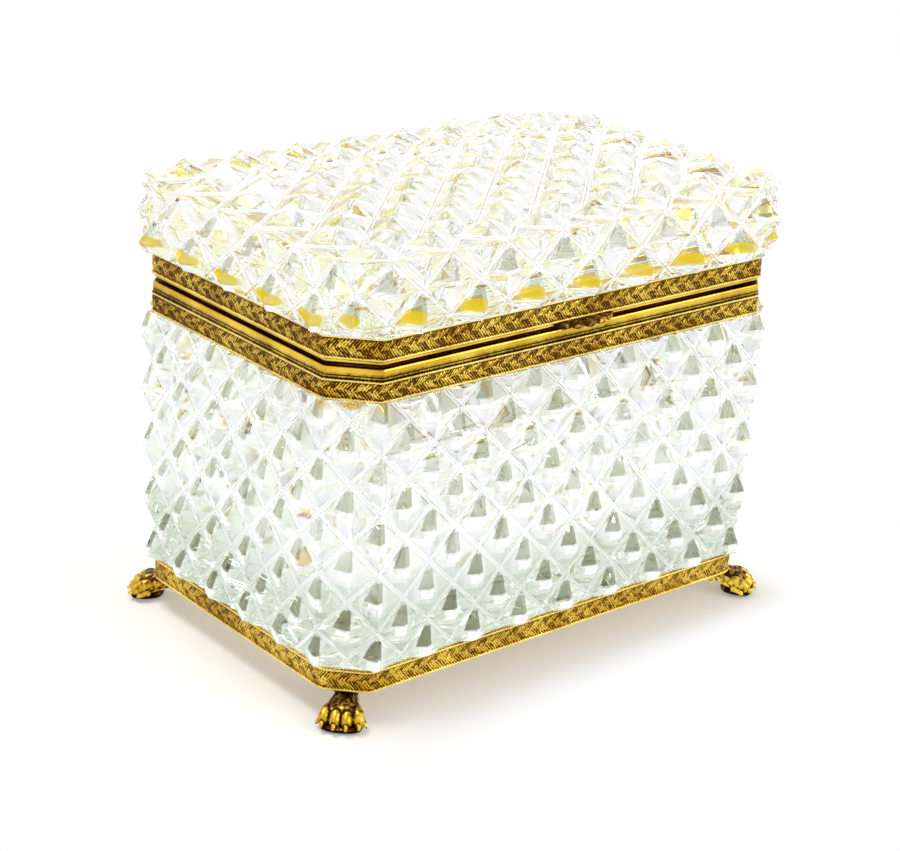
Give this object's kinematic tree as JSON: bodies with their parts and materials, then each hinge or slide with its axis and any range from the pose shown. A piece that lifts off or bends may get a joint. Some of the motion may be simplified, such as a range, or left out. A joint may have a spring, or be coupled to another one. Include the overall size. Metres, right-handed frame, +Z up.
{
  "type": "glass casket box",
  "caption": "Rectangular cut-glass casket with a hinged lid in chased gilt bands, standing on paw feet; holds small keepsakes and papers.",
  "frame": {"origin": "centre of the bounding box at the soles of the feet", "axes": "+X along the length, +Y from the front (thumb lift) to the back (hinge), +Z up"},
  "size_m": [0.152, 0.1013, 0.1198],
  "materials": {
    "clear_glass": "polished, diamond cut",
    "chased_gilt": "chased and gilded, slightly worn",
    "plain_gilt": "plain gilded, satin",
    "cast_gilt": "cast and gilded, dark in the hollows",
    "steel": "plain"
  },
  "bodies": {
    "casket": {"body_glass": "clear_glass", "body_band": "chased_gilt", "body_frame": "plain_gilt", "base_band": "chased_gilt", "base_frame": "plain_gilt", "hinge_leaf_body": "plain_gilt", "hinge_pin": "steel", "foot_front_left": "cast_gilt", "foot_front_right": "cast_gilt", "foot_back_left": "cast_gilt", "foot_back_right": "cast_gilt", "foot_screws": "steel"},
    "lid": {"lid_glass": "clear_glass", "lid_band": "chased_gilt", "lid_frame": "plain_gilt", "hinge_leaf_lid": "plain_gilt", "thumb_lift": "cast_gilt"}
  },
  "joints": [
    {"name": "lid_hinge", "type": "hinge", "parent": "casket", "child": "lid", "pos_m": [0, 0.0487, 0.0907], "axis": [-1, 0, 0], "range_deg": [0, 95]}
  ]
}
